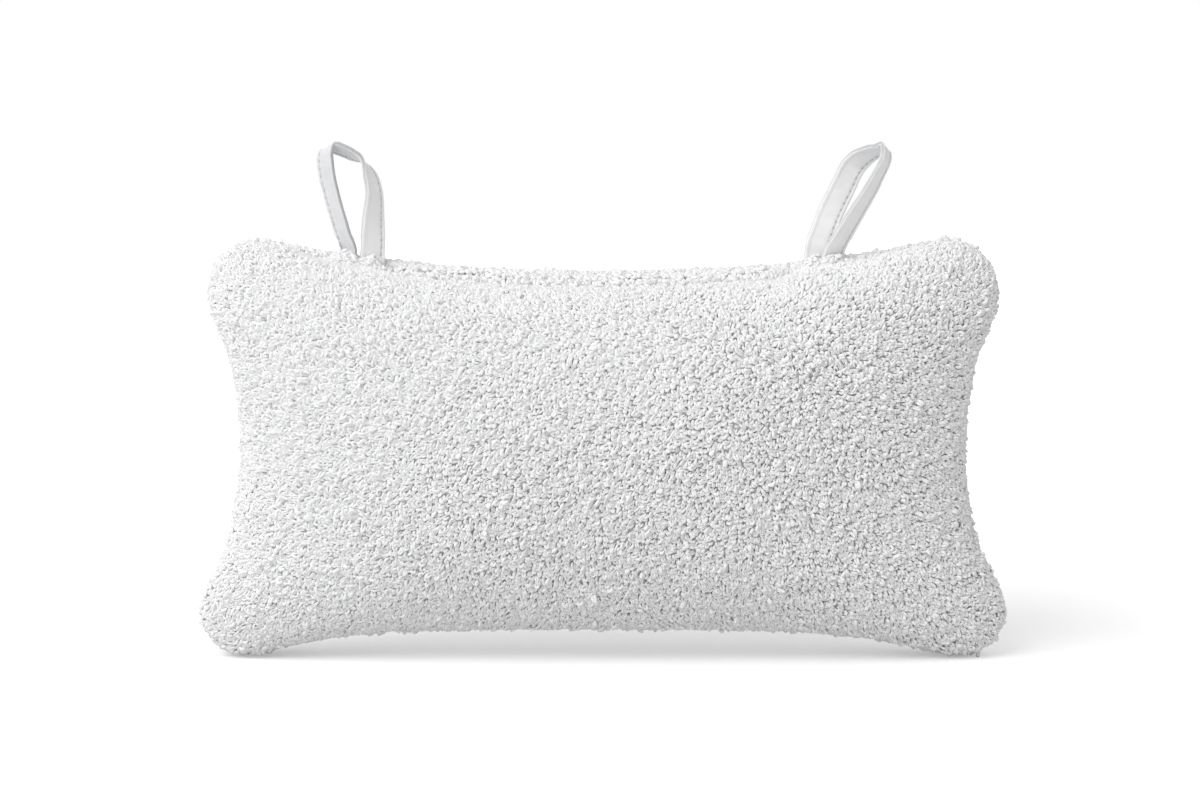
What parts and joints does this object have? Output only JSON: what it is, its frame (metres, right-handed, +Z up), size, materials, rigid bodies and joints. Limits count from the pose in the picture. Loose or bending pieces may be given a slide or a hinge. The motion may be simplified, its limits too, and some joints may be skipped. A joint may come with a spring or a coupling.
{
  "type": "bath pillow",
  "caption": "Plump white terry bath pillow with rounded ears and drawn-in sides, standing on its lower ears, with tape hanging loops in its top seam.",
  "frame": {"origin": "under the middle of the pillow, on the surface that its lower ears stand on", "axes": "+X to the right as seen from the front, +Y from the front panel to the back panel, +Z up"},
  "size_m": [0.38, 0.094, 0.2436],
  "materials": {
    "terry": "matte",
    "cotton_tape": "satin",
    "sewing_thread": "satin",
    "nonwoven_case": "matte",
    "fibre_fill": "matte"
  },
  "bodies": {
    "root": {"terry_front_panel": "terry", "terry_back_panel": "terry", "inner_case_front": "nonwoven_case", "inner_case_back": "nonwoven_case", "fibre_fill": "fibre_fill", "seam_overlock": "sewing_thread", "seam_needle_thread": "sewing_thread", "seam_bobbin_thread": "sewing_thread", "left_loop_back_end": "cotton_tape", "left_loop_front_end": "cotton_tape", "right_loop_back_end": "cotton_tape", "right_loop_front_end": "cotton_tape"},
    "left_loop_body": {"left_loop": "cotton_tape", "left_loop_needle_thread": "sewing_thread", "left_loop_bobbin_thread": "sewing_thread"},
    "right_loop_body": {"right_loop": "cotton_tape", "right_loop_needle_thread": "sewing_thread", "right_loop_bobbin_thread": "sewing_thread"}
  },
  "joints": [
    {"name": "left_loop_swing", "type": "hinge", "parent": "root", "child": "left_loop_body", "pos_m": [-0.1125, 0, 0.19438], "axis": [1, 0, 0], "range_deg": [-70, 70], "stiffness_Nm_per_rad": 0.004},
    {"name": "right_loop_swing", "type": "hinge", "parent": "root", "child": "right_loop_body", "pos_m": [0.1026, 0, 0.19288], "axis": [1, 0, 0], "range_deg": [-70, 70], "stiffness_Nm_per_rad": 0.004}
  ]
}
